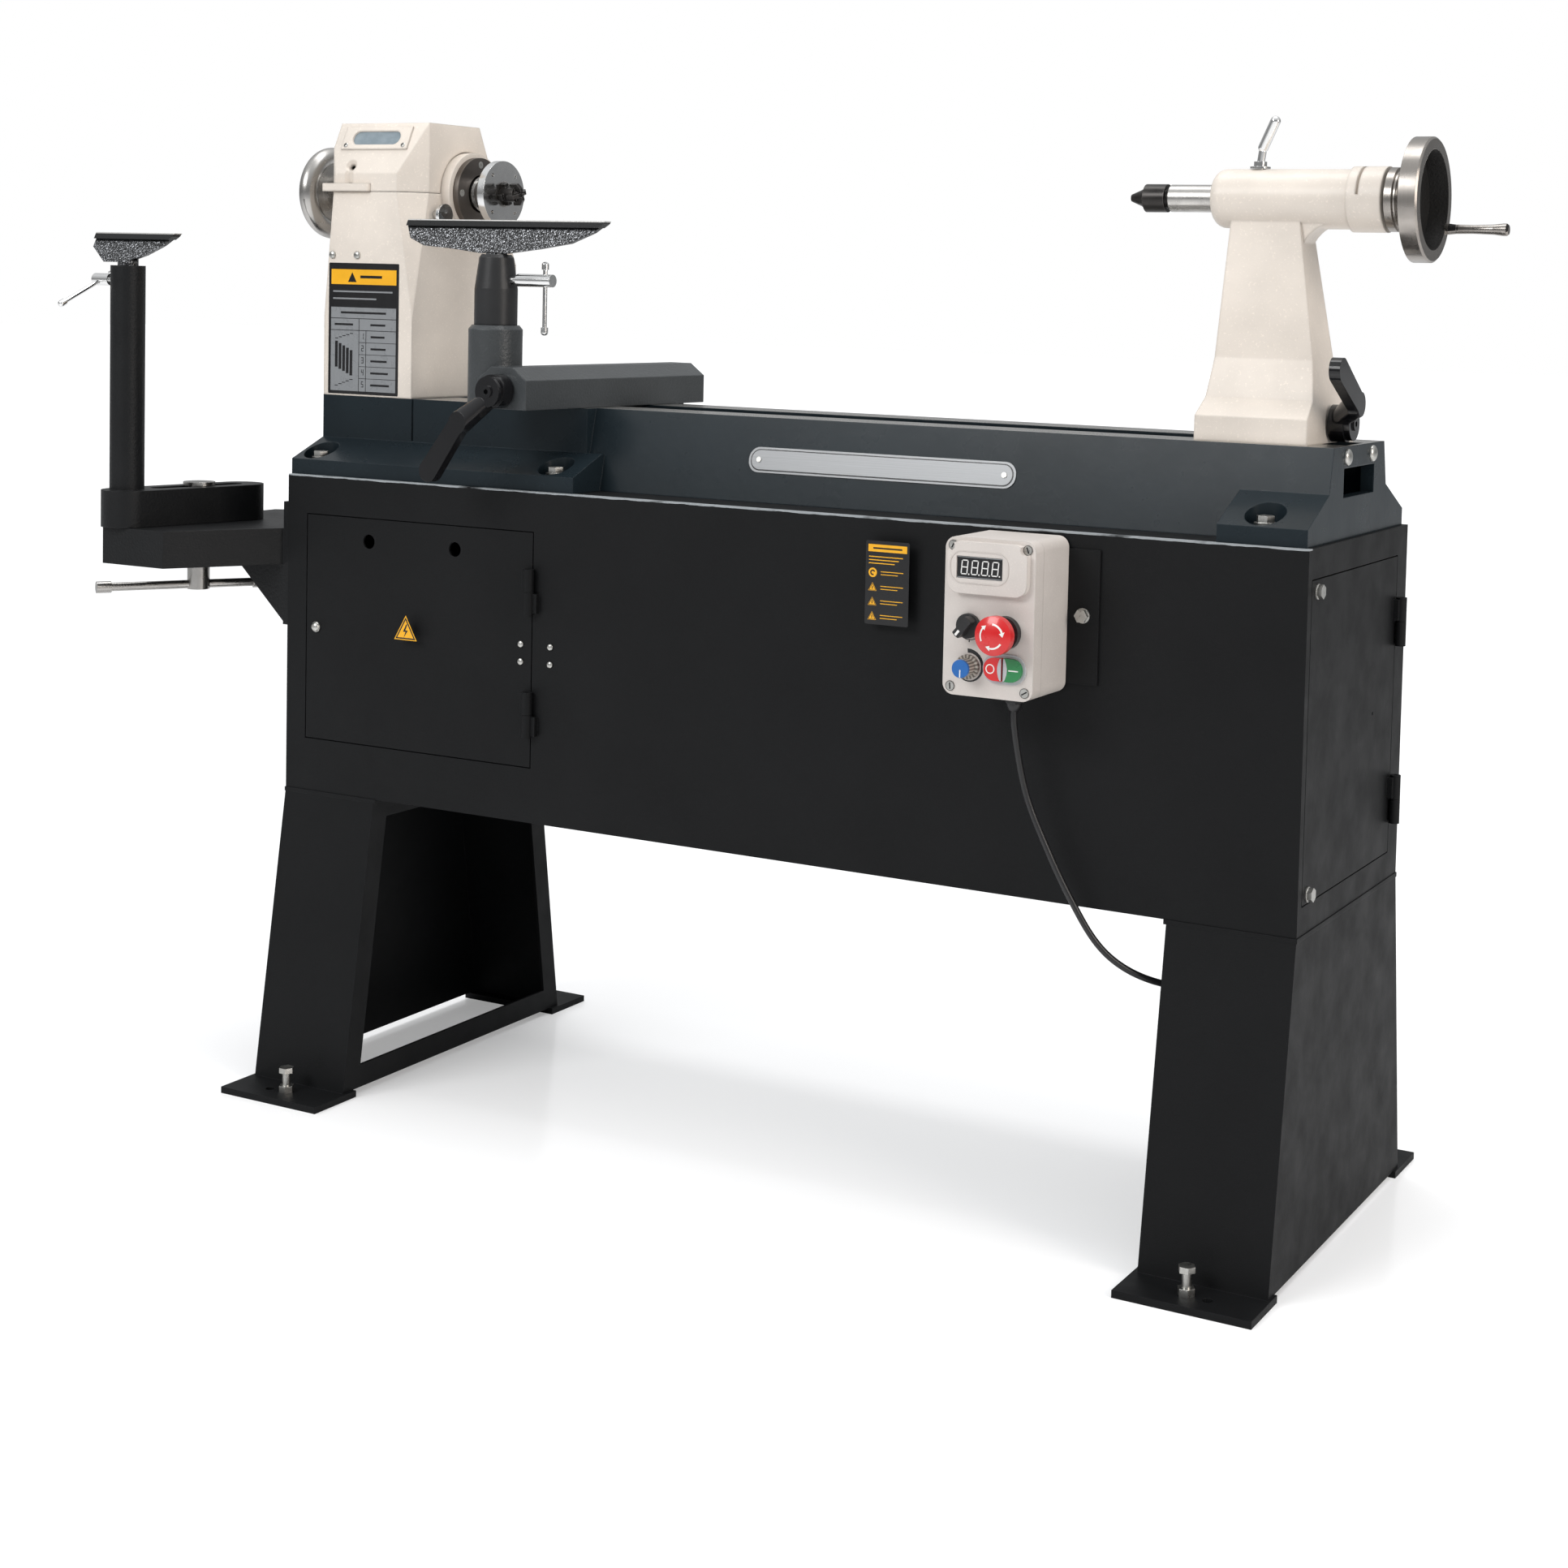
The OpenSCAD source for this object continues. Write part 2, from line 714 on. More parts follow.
module headstock_screws_at() {
    for (x = [-659, -619]) translate([x, -hs_half, way_z + 178]) children();
}

// Plan outline of the upper headstock; chamfers are [front left, front right]
module headstock_plan(inset, left, right) {
    x0 = hs_x0 + inset;
    x1 = hs_x1 - inset;
    y0 = -hs_half + inset;
    y1 = hs_half - inset;
    polygon([
        [x0 + left, y0], [x1 - right * 0.9, y0], [x1, y0 + right],
        [x1, y1 - 10], [x1 - 10, y1], [x0 + 10, y1], [x0, y1 - 10], [x0, y0 + left]
    ]);
}

// Side outline of the headstock body, as [y, z], with its sloping back
module headstock_side(inset, z0, z1) {
    back_z = hs_split_z - (hs_half - back_split_y) / cover_slope;
    polygon([
        [-hs_half + inset, z0], [hs_half - inset, z0], [hs_half - inset, back_z - inset],
        [back_split_y - inset - cover_slope * (z1 - hs_split_z), z1], [-hs_half + inset, z1]
    ]);
}

// Wedge cut from a front corner: nothing at the kink, full chamfer at the split
module corner_wedge(x, dir, size) {
    k = 1.1;
    z1 = hs_kink_z + k * (hs_split_z - hs_kink_z);
    polyhedron(
        points = [
            [x, -hs_half, hs_kink_z],
            [x - dir * size * 0.9 * k, -hs_half, z1],
            [x, -hs_half + size * k, z1],
            [x + dir * 6, -hs_half - 6, z1]
        ],
        faces = dir > 0
            ? [[0, 2, 1], [0, 1, 3], [0, 3, 2], [1, 2, 3]]
            : [[0, 1, 2], [0, 3, 1], [0, 2, 3], [1, 3, 2]]
    );
}

module headstock() {
    base_t = 12;
    color(c_cream) difference() {
        union() {
            difference() {
                along_x(hs_x0, hs_x1) headstock_side(0, way_z, hs_split_z);
                corner_wedge(hs_x1, 1, 30);
                corner_wedge(hs_x0, -1, 15);
                difference() {
                    along_x(hs_x0 + hs_wall, hs_x1 - hs_wall)
                        headstock_side(hs_wall, way_z + base_t, hs_split_z + over);
                    // solid webs that carry the two bearing barrels
                    for (x = [[hs_x0, hs_x0 + 32], [hs_x1 - 30, hs_x1]])
                        slab([x[0], -46, axis_z - 90], [x[1], 46, axis_z]);
                    slab([hs_x1 - 30, -hs_half, hs_kink_z], [hs_x1, 34 - hs_half, hs_split_z + over]);
                    slab([hs_x0, -hs_half, hs_kink_z], [hs_x0 + 22, 22 - hs_half, hs_split_z + over]);
                }
            }
            translate([0, 0, axis_z]) rod_x(barrel_r, hs_x1 - 30, barrel_x1);
            translate([0, 0, axis_z]) rod_x(rear_barrel_r, hs_x0, hs_x0 + 32);
            for (x = [hs_x0 + 14, hs_x1 - 34])
                translate([x, 0, 0]) cover_knuckle(20, 3);
        }
        translate([0, 0, axis_z]) {
            rod_x(front_bearing_r, hs_x1 - 28, barrel_x1 + over);
            rod_x(spindle_r + 4, hs_x0 - over, hs_x1);
            rod_x(rear_bearing_r, hs_x0 + 6, hs_x0 + 33);
        }
        // the cover's end walls come down beside the barrels, so the belt cavity stays open
        slab([belt_x0, -belt_half, way_z - over], [belt_x1, belt_half, way_z + base_t + over]);
        both_sides() for (x = hs_bolt_xs)
            translate([x, hs_bolt_y, way_z - over]) cylinder(r = m10_hole_r, h = 20);
        headstock_screws_at() rotate([0, 0, -90]) rod_x(2.5, -9, 1);
        translate([barrel_x1, 0, axis_z]) cap_screws_at() rod_x(2.6, -10, over);
        translate([0, lock_pos[0], lock_pos[1]]) rod_x(5 + run_gap, hs_x1 - 2 * hs_wall, hs_x1 + over);
    }
}

// A knuckle of the cover's hinge, from x = 0 to x = w, joined to the body's back
module cover_knuckle(w, bore) {
    difference() {
        union() {
            translate([0, cover_hinge_y, cover_hinge_z]) rod_x(6, 0, w);
            slab([0, back_split_y - 4, cover_hinge_z - 20], [w, cover_hinge_y, cover_hinge_z - 2]);
        }
        translate([0, cover_hinge_y, cover_hinge_z]) rod_x(bore, -over, w + over);
    }
}

// Side outline of the cover, as [y, z]
module cover_side(inset, z0) {
    polygon([
        [-hs_half + inset, z0], [-hs_half + inset, hs_split_z + cover_band],
        [cover_front_y + inset * 0.8, cover_top - inset], [cover_back_y - inset * 0.8, cover_top - inset],
        [back_split_y - inset - cover_slope * (z0 - hs_split_z), z0]
    ]);
}

module cover_shape(inset, z0) {
    intersection() {
        along_x(hs_x0 + inset, hs_x1 - inset) cover_side(inset, z0);
        translate([0, 0, z0]) linear_extrude(cover_top) headstock_plan(inset, 15, 30);
    }
}

// Places its children on the cover's sloping front: X along the bed, Y up the slope, Z outwards
module on_cover_front(x, z) {
    y = cover_front_y - cover_slope * (cover_top - z);
    translate([x, y, z]) rotate([90 - cover_tilt, 0, 0]) children();
}

module stadium(l, r, h) {
    for (s = [-1, 1]) translate([s * (l / 2 - r), 0, 0]) cylinder(r = r, h = h);
    translate([-l / 2 + r, -r, 0]) cube([l - 2 * r, 2 * r, h]);
}

module headstock_cover() {
    z0 = hs_split_z + 0.5;
    gap = 1;
    color(c_cream) {
        difference() {
            union() {
                cover_shape(0, z0);
                // raised frame round the window, and the pull lip
                on_cover_front(window_x, window_z) translate([-53, -16, -3]) cube([106, 32, 5]);
                slab([hs_x0, -hs_half - 6, z0], [hs_x0 + 68, -hs_half + 3, z0 + 10]);
                translate([hs_x0 + 68, -hs_half - 1, z0]) cylinder(r = 5, h = 10);
            }
            cover_shape(cover_wall, z0 - over);
            on_cover_front(window_x, window_z) translate([0, 0, -12]) stadium(window_l, window_r, 24);
            translate([0, 0, axis_z]) {
                rod_x(barrel_r + gap, hs_x1 - 40, hs_x1 + over);
                rod_x(rear_barrel_r + gap, hs_x0 - over, hs_x0 + 40);
            }
            // finger scoop above the pull lip
            on_cover_front(hs_x0 + 38, hs_split_z + 40) translate([0, -8, 4]) sphere(9);
            translate([hs_x0 + 38, -hs_half - 3, z0 + 10]) cylinder(r = 7, h = 24);
        }
        translate([hs_x0 + 34.5, 0, 0]) cover_lug(hs_x1 - hs_x0 - 69);
    }
}

// The cover's long hinge knuckle
module cover_lug(w) {
    difference() {
        union() {
            translate([0, cover_hinge_y, cover_hinge_z]) rod_x(6, 0, w);
            slab([0, back_split_y - 7, cover_hinge_z + 2], [w, cover_hinge_y, cover_hinge_z + 6]);
        }
        translate([0, cover_hinge_y, cover_hinge_z]) rod_x(3 + run_gap, -over, w + over);
    }
}

module cover_window() {
    color("lightsteelblue", 0.5)
        on_cover_front(window_x, window_z) translate([0, 0, -3]) stadium(window_l, window_r, 3);
}

module bearing_ring(outer, inner, x0, x1) {
    difference() {
        rod_x(outer, x0, x1);
        rod_x(inner, x0 - over, x1 + over);
    }
}

module spindle_bearings() {
    color(c_steel) translate([0, 0, axis_z]) {
        bearing_ring(front_bearing_r, spindle_r + run_gap, hs_x1 - 28, barrel_x1 - 8);
        bearing_ring(rear_bearing_r, spindle_r + run_gap, hs_x0 + 6, hs_x0 + 28);
    }
}

module bearing_cap() {
    color([0.17, 0.16, 0.16]) translate([0, 0, axis_z]) difference() {
        rod_x(46, barrel_x1, barrel_x1 + 8);
        rod_x(24, barrel_x1 - over, barrel_x1 + 9);
        translate([barrel_x1 + 6, 0, 0]) cap_screws_at() {
            rod_x(2.6, -9, 1);
            rod_x(4.5, 0, 3);
        }
    }
}

// ---------------------------------------------------------------- spindle and drive

module spindle() {
    color(c_chrome) translate([0, 0, axis_z]) difference() {
        union() {
            rod_x(spindle_r, spindle_x0 + 48, nose_x);
            rod_x(spindle_r + 4.5, barrel_x1, nose_x);
            rod_x(spindle_r - 2, spindle_x0, nose_x);
            rod_x(spindle_r - 1, nose_x, face_x - 1);
        }
        rod_x(5, spindle_x0 - over, face_x - 59);
        rod_x(taper_r, face_x - 60, face_x + over);
    }
}

module step_pulley(steps, x0, bore) {
    difference() {
        union() {
            for (i = [0:len(steps) - 1])
                translate([x0 + i * belt_step_w, 0, 0]) difference() {
                    rod_x(steps[i], 0, belt_step_w);
                    for (j = [0:2]) translate([2.5 + 3 * j, 0, 0])
                        bearing_ring(steps[i] + over, steps[i] - 1.2, 0, 1.6);
                }
        }
        rod_x(bore, x0 - over, x0 + belt_step_w * len(steps) + over);
    }
}

module spindle_pulley() {
    color(c_steel) translate([0, 0, axis_z]) step_pulley(spindle_steps, pulley_x0, spindle_r + 0.01);
}

module motor_pulley() {
    color(c_steel) translate([0, 0, motor_z]) {
        step_pulley(motor_steps, pulley_x0, motor_shaft_r + 0.01);
        rod_x(motor_shaft_r, pulley_x0 - 2, motor_x0 + 40);
    }
}

module drive_belt() {
    step = 2;
    r = spindle_steps[step] + 0.2;
    x0 = pulley_x0 + step * belt_step_w + 1.5;
    w = belt_step_w - 3;
    color(c_black) difference() {
        belt_loop(r + belt_t, x0, x0 + w);
        belt_loop(r, x0 - over, x0 + w + over);
    }
}

module belt_loop(r, x0, x1) {
    translate([0, 0, axis_z]) rod_x(r, x0, x1);
    translate([0, 0, motor_z]) rod_x(r, x0, x1);
    slab([x0, -r, motor_z], [x1, r, axis_z]);
}

module faceplate() {
    color(c_chrome) translate([0, 0, axis_z]) difference() {
        union() {
            rod_x(faceplate_r, face_x - 10, face_x);
            rod_x(20, nose_x + 0.1, face_x - 9);
        }
        rod_x(spindle_r - 0.98, nose_x, face_x + over);
        for (a = [45:90:315]) rotate([a, 0, 0]) translate([0, 0, plate_hole_ring])
            rod_x(plate_hole_r, face_x - 11, face_x + over);
    }
}

// Four-prong centre: a rear collar with flats, a neck, and prongs round a point
module drive_centre() {
    color(c_black) translate([face_x, 0, axis_z]) {
        rod_x(taper_r - 0.02, -55, 2);
        rod_x(10, 0.1, 20);
        for (a = [20:90:290]) rotate([a, 0, 0]) {
            translate([0.1, 5, -3.5]) cube([7, 9, 7]);
            difference() {
                translate([14, 3, -2.5]) cube([15, 11, 5]);
                translate([29, 8, -4]) rotate([0, 0, 37]) cube([10, 10, 8]);
            }
        }
        translate([19, 0, 0]) rotate([0, 90, 0]) cylinder(r1 = 6, r2 = 3.5, h = 6);
        translate([24, 0, 0]) rotate([0, 90, 0]) cylinder(r1 = 3.5, r2 = 0.6, h = 9);
    }
}

module outboard_handwheel() {
    bore = spindle_r - 1.98;
    rim = 12;
    color(c_steel) translate([handwheel_x, 0, axis_z]) rotate([0, 90, 0]) difference() {
        union() {
            cylinder(r = 24, h = 48);
            translate([0, 0, 14]) rotate_extrude() translate([out_wheel_r - rim, 0]) circle(rim);
            translate([0, 0, 8]) cylinder(r = out_wheel_r - rim, h = 10);
        }
        translate([0, 0, -over]) cylinder(r = bore, h = 60);
    }
}

module spindle_lock() {
    color(c_chrome) translate([0, lock_pos[0], lock_pos[1]]) {
        rod_x(5, hs_x1 - 26, hs_x1 + 16);
        rod_x(8, hs_x1 + 6.5, hs_x1 + 13);
        rod_x(14, hs_x1 + 12, hs_x1 + 17);
    }
}

module motor() {
    color([0.25, 0.27, 0.30]) translate([0, 0, motor_z]) difference() {
        union() {
            rod_x(motor_r, motor_x0 + 25, motor_x1 - 20);
            rod_x(motor_r - 6, motor_x0 + 5, motor_x1);
            rod_x(30, motor_x0 - 5, motor_x0 + 10);
            for (a = [0:15:345]) rotate([a, 0, 0]) translate([motor_x0 + 30, -1.5, motor_r - 2])
                cube([motor_x1 - motor_x0 - 55, 3, 7]);
            slab([motor_x0 + 55, -78, -motor_r - 10], [motor_x1 - 55, 78, -motor_r + 22]);
        }
        rod_x(motor_shaft_r + run_gap, motor_x0 - 6, motor_x0 + 45);
    }
}

module motor_bracket() {
    z1 = motor_z - motor_r - 10;
    x0 = motor_x0 + 20;
    x1 = motor_x1 - 30;
    color(c_sheet) difference() {
        union() {
            slab([x0, -95, z1 - 8], [x1, cab_y - sheet, z1]);
            slab([x0, cab_y - sheet - 6, z1 - 40], [x1, cab_y - sheet, z1 + 4]);
            for (x = [x0, x1 - 6]) along_x(x, x + 6)
                polygon([[cab_y - sheet - 4, z1 - 4], [cab_y - sheet - 4, z1 - 40], [-20, z1 - 4]]);
        }
        motor_bolts_at() rod_y(m10_hole_r, -3 * sheet - 8, over);
    }
}

module inverter() {
    color([0.2, 0.2, 0.21]) {
        slab([240, cab_y - sheet - 110, 500], [340, cab_y - sheet, 680]);
        for (x = [246:8:334]) slab([x, cab_y - sheet - 114, 520], [x + 3, cab_y - sheet - 109, 660]);
    }
}

// ---------------------------------------------------------------- control box

module control_box_plate() {
    color(c_sheet) difference() {
        slab([box_x0 + 8, box_back, box_z0 + 10], [443, -cab_y, box_z1 - 13]);
        translate([box_bolt[0], 0, box_bolt[1]]) rod_y(4.1, box_back - over, -cab_y + over);
        translate([cable_entry[0], 0, cable_entry[1]]) rod_y(12, box_back - over, -cab_y + over);
    }
}

// A rounded box swept along Y from y0 to y1
module round_box_y(x0, x1, z0, z1, r, y0, y1) {
    for (x = [x0 + r, x1 - r], z = [z0 + r, z1 - r]) translate([x, 0, z]) rod_y(r, y0, y1);
    slab([x0 + r, y0, z0], [x1 - r, y1, z1]);
    slab([x0, y0, z0 + r], [x1, y1, z1 - r]);
}

module control_box_base() {
    w = 4;
    color(c_box) difference() {
        round_box_y(box_x0, box_x1, box_z0, box_z1, 12, box_seam, box_back);
        round_box_y(box_x0 + w, box_x1 - w, box_z0 + w, box_z1 - w, 8, box_seam - over, box_back - w);
        translate([cable_entry[0], 0, cable_entry[1]]) rod_y(12, box_back - w - over, box_back + over);
        translate([cable_path[0][0], cable_path[0][1], box_z0 - over]) cylinder(r = 8.05, h = w + 2 * over);
        box_posts() rod_y(3.7, box_seam - over, box_seam + 10);
    }
}

module box_posts() {
    for (x = [box_x0 + post_inset, box_x1 - post_inset], z = [box_z0 + post_inset, box_z1 - post_inset])
        translate([x, 0, z]) children();
}

module control_box_cover() {
    w = 4;
    hood_z = box_z1 - 58;
    color(c_box) difference() {
        union() {
            round_box_y(box_x0, box_x1, box_z0, box_z1, 12, box_front, box_seam - 0.2);
            round_box_y(box_x0 + 6, box_x1 - 6, hood_z, box_z1 - 4, 14, box_front - 8, box_front + over);
        }
        difference() {
            round_box_y(box_x0 + w, box_x1 - w, box_z0 + w, box_z1 - w, 8, box_front + w, box_seam + over);
            box_posts() rod_y(6, box_front, box_seam + over);
        }
        slab([box_x0 + 17, box_front - 9, box_z1 - 42], [box_x0 + 70, box_front - 5, box_z1 - 19]);
        translate([estop_pos[0], 0, estop_pos[1]]) rod_y(11.2, box_front - over, box_seam);
        translate([switch_pos[0], 0, switch_pos[1]]) rod_y(5 + run_gap, box_front - over, box_seam);
        translate([knob_pos[0], 0, knob_pos[1]]) rod_y(3 + run_gap, box_front - over, box_seam);
        for (s = [-1, 1]) translate([push_pos[0], 0, push_pos[1]])
            push_cap_shape(s, push_gap, box_front - over, box_seam);
        box_posts() {
            rod_y(3.7, box_front - over, box_seam + over);
            rod_y(5.2, box_front - 10, box_front + 2);
        }
    }
}

// Half of an oblong pair of push buttons; side is -1 for the left one, 1 for the right one
module push_cap_shape(side, grow, y0, y1) {
    x0 = 0.6 - grow;
    x1 = push_half - push_r;        // centre of the round end
    mirror([side > 0 ? 0 : 1, 0, 0]) difference() {
        union() {
            slab([x0, y0, -push_r - grow], [x1, y1, push_r + grow]);
            translate([x1, 0, 0]) rod_y(push_r + grow, y0, y1);
        }
        slab([x0 - push_r, y0 - over, -push_r], [x0, y1 + over, push_r]);
    }
}

module start_button() {
    color("green") translate([push_pos[0], 0, push_pos[1]])
        push_cap_shape(1, -push_gap, box_front - 7, box_seam - 4);
}

module stop_button() {
    color("red") translate([push_pos[0], 0, push_pos[1]])
        push_cap_shape(-1, -push_gap, box_front - 7, box_seam - 4);
}

module estop_button() {
    color("red") translate([estop_pos[0], 0, estop_pos[1]]) {
        rod_y(11, box_front - 24, box_seam - 6);
        translate([0, box_front - 22, 0]) intersection() {
            translate([0, 30, 0]) sphere(44);
            rod_y(20.5, -15, 0);
        }
    }
}

module direction_switch() {
    color(c_black) translate([switch_pos[0], 0, switch_pos[1]]) {
        rod_y(5, box_front - 2, box_seam - 6);
        rod_y(13, box_front - 6, box_front - 1);
        rotate([0, 40, 0]) intersection() {
            rod_y(12, box_front - 19, box_front - 5);
            slab([-4.5, box_front - 19, -12], [4.5, box_front - 5, 12]);
        }
    }
}

module speed_knob() {
    color("royalblue") translate([knob_pos[0], 0, knob_pos[1]]) {
        rod_y(3, box_front - 2, box_seam - 6);
        rod_y(13, box_front - 5, box_front - 1);
        rod_y(9.5, box_front - 20, box_front - 4);
    }
}

module control_cable() {
    color(c_black) {
        for (i = [0:len(cable_path) - 2]) strut(cable_path[i], cable_path[i + 1], 3.6);
        translate([cable_path[0][0], cable_path[0][1], box_z0 - 9]) hexagon(20, 9);
        translate([cable_path[0][0], cable_path[0][1], box_z0 - 2]) cylinder(r = 8, h = 8);
    }
}

// ---------------------------------------------------------------- tailstock

// Thin level slab of the tailstock, from x0 to x1 past its left end and half_y each way
module tail_section(x0, x1, half_y, z) {
    slab([ts_x0 + x0, -half_y, z - 1], [ts_x0 + x1, half_y, z]);
}

// Column of the tailstock: it flares out to a foot on the base
module tail_column() {
    flare_z = ts_foot_z + 42;
    hull() {
        tail_section(0, ts_x1 - ts_x0, ts_half, way_z + ts_base_h);
        tail_section(1, 122, 50, ts_foot_z);
    }
    hull() {
        tail_section(1, 122, 50, ts_foot_z);
        tail_section(4, 115, 34, flare_z);
    }
    hull() {
        tail_section(4, 115, 34, flare_z);
        tail_section(13, 90, 20, axis_z - 18);
    }
}

// Barrel end with a rounded edge, facing -X from x = 0
module rounded_end(r, edge) {
    steps = 6;
    rotate([0, 90, 0]) rotate_extrude() polygon(concat(
        [[0, 0]],
        [for (i = [0:steps]) [
            r - edge + edge * sin(i * 90 / steps), edge - edge * cos(i * 90 / steps)
        ]],
        [[0, edge]]
    ));
}

module tailstock() {
    barrel_edge = 13;
    color(c_cream) difference() {
        union() {
            slab([ts_x0, -ts_half, way_z], [ts_x1, ts_half, way_z + ts_base_h]);
            tail_column();
            translate([0, 0, axis_z]) {
                rod_x(ts_barrel_r, ts_barrel_x0 + barrel_edge, ts_collar_x0 + 2);
                translate([ts_barrel_x0, 0, 0]) rounded_end(ts_barrel_r, barrel_edge);
                rod_x(ts_collar_r, ts_collar_x0, ts_collar_x1);
            }
            // web that runs from the column up to the barrel
            fillet_web(ts_x0 + 91, 38);
        }
        translate([0, 0, axis_z]) {
            rod_x(quill_r + run_gap, ts_barrel_x0 - over, quill_x1 + 18);
            rod_x(screw_r + 2, quill_x1 + 17, ts_collar_x1 + over);
            intersection() {
                slab([ts_collar_x0 + 11, -40, 4], [ts_collar_x0 + 14, 0, 40]);
                bearing_ring(ts_collar_r + over, ts_collar_r - 4, ts_collar_x0, ts_collar_x1);
            }
        }
        translate([quill_lock_x, 0, axis_z + 10]) cylinder(r = 5 + run_gap, h = 40);
        // cam shaft and the pocket for the clamp bolt's eye
        translate([0, 0, cam_z]) rod_x(cam_r + run_gap, ts_x0 + 14, ts_x1 + over);
        slab([tail_bolt_x - 22, -20, way_z - over], [tail_bolt_x + 22, 20, way_z + 46]);
    }
}

// Curved underside between the column's right side and the barrel
module fillet_web(x, r) {
    difference() {
        slab([x, -18, axis_z - ts_barrel_r - r + 6], [x + r, 18, axis_z - ts_barrel_r + 6]);
        translate([x + r, 0, axis_z - ts_barrel_r - r + 6]) rod_y(r, -30, 30);
    }
}

module quill() {
    color(c_steel) translate([0, 0, axis_z]) difference() {
        rod_x(quill_r, quill_x0, quill_x1);
        rod_x(taper_r, quill_x0 - over, quill_x0 + 60);
        rod_x(screw_r + run_gap, quill_x0 + 59, quill_x1 + over);
    }
}

module live_centre() {
    color([0.1, 0.1, 0.1]) translate([0, 0, axis_z]) {
        rod_x(taper_r - run_gap, quill_x0 - 6, quill_x0 + 55);
        rod_x(11, quill_x0 - 6, quill_x0 - 2);
        rod_x(15.5, quill_x0 - 30, quill_x0 - 5);
        translate([quill_x0 - 36, 0, 0]) rotate([0, 90, 0]) cylinder(r1 = 9, r2 = 12, h = 6);
        translate([quill_x0 - 48, 0, 0]) rotate([0, 90, 0]) cylinder(r1 = 4, r2 = 9, h = 12.1);
    }
}

module lead_screw() {
    color(c_steel) translate([0, 0, axis_z]) {
        rod_x(screw_r, quill_x0 + 64, ts_collar_x1 + 30);
        rod_x(12, ts_collar_x1 + 0.5, ts_collar_x1 + 3);
    }
}

module tail_handwheel() {
    hub_x = ts_collar_x1 + 3.2;
    rim_x1 = hub_x + 45;
    rim_w = 22;
    dish_r = tail_wheel_r - 14;
    handle = [48, -29];
    color(c_steel) translate([0, 0, axis_z]) {
        translate([hub_x, 0, 0]) rotate([0, 90, 0]) rotate_extrude() polygon([
            [screw_r + 0.02, 0], [34, 0], [34, 8], [31, 9], [31, 11], [34, 13],
            [tail_wheel_r - 12, rim_x1 - hub_x - rim_w], [tail_wheel_r, rim_x1 - hub_x - rim_w + 2],
            [tail_wheel_r, rim_x1 - hub_x - 2], [tail_wheel_r - 2, rim_x1 - hub_x],
            [dish_r, rim_x1 - hub_x], [dish_r - 6, 26], [24, 16], [18, 26], [screw_r + 0.02, 26]
        ]);
        translate([rim_x1 - 1, handle[0], handle[1]]) rotate([0, 90, 0]) rotate_extrude() polygon([
            [0, 0], [6, 0], [6, 4], [5, 12], [4.6, 30], [5.4, 52], [6.6, 62], [6.6, 66], [5, 68], [0, 68]
        ]);
    }
}

module quill_lock_lever() {
    z = axis_z + ts_barrel_r - 1;
    color(c_chrome) translate([quill_lock_x, 0, z]) {
        translate([0, 0, -15]) cylinder(r = 5, h = 20);
        translate([0, 0, 1.5]) cylinder(r = 11, h = 2);
        translate([0, 0, 3]) cylinder(r = 7, h = 6);
        strut([0, 0, 6], [3, -1, 24], 4.2);
        strut([3, -1, 24], [18, -7, 52], 5.6);
    }
}

module tail_clamp_plate() {
    plate_z = way_z - way_t - tail_plate_gap;
    color(c_steel) difference() {
        union() {
            slab([tail_bolt_x - 50, -50, plate_z - 14], [tail_bolt_x + 50, 50, plate_z]);
            slab([tail_bolt_x - 40, -slot_half + free_gap, plate_z - 1],
                [tail_bolt_x + 40, slot_half - free_gap, way_z - 4]);
            translate([tail_bolt_x, 0, plate_z]) cylinder(r = 9, h = cam_z - plate_z - 8);
            translate([0, 0, cam_z]) rod_x(18, tail_bolt_x - 12, tail_bolt_x + 12);
        }
        translate([0, 0, cam_z]) rod_x(eye_r, tail_bolt_x - 13, tail_bolt_x + 13);
    }
}

module tail_clamp_lever() {
    color(c_black) translate([ts_x1 + 2, 0, cam_z]) rotate([0, 90, 0]) rotate([0, 0, 240])
        offset_lever(cam_r - 0.01);
    color(c_steel) translate([ts_x1 + 2 + lever_hub_h, 0, cam_z])
        lever_shaft(ts_x1 - ts_x0 - 14 + lever_hub_h);
}

// ---------------------------------------------------------------- banjo and tool rest

// Moves its children from the arm's own frame to the machine's
module in_banjo() {
    translate([banjo_x, 0, 0]) rotate([0, 0, -banjo_yaw]) children();
}

module banjo_clamp_plate() {
    plate_z = way_z - way_t - 0.2;
    color(c_steel) translate([banjo_x, 0, 0]) difference() {
        union() {
            slab([-45, -50, plate_z - 14], [45, 50, plate_z]);
            slab([-40, -slot_half + free_gap, plate_z - 1], [40, slot_half - free_gap, way_z - 4]);
        }
        translate([0, 0, plate_z - 20]) cylinder(r = 9 + run_gap, h = 60);
    }
}

module banjo_clamp_bolt() {
    plate_z = way_z - way_t - 14.4;
    color(c_steel) in_banjo() difference() {
        union() {
            translate([0, 0, plate_z - 8]) cylinder(r = 9, h = cam_z - plate_z - 5);
            translate([0, 0, plate_z - 9]) hexagon(26, 8.8);
            translate([0, 0, cam_z]) rod_y(17, -12, 12);
        }
        translate([0, 0, cam_z]) rod_y(cam_r + 0.1, -13, 13);
    }
}

module banjo_section() {
    chamfer_x = 21;
    chamfer_z = 15;
    symmetric([
        [banjo_w / 2, banjo_z], [banjo_w / 2, banjo_top - chamfer_z],
        [banjo_w / 2 - chamfer_x, banjo_top]
    ]);
}

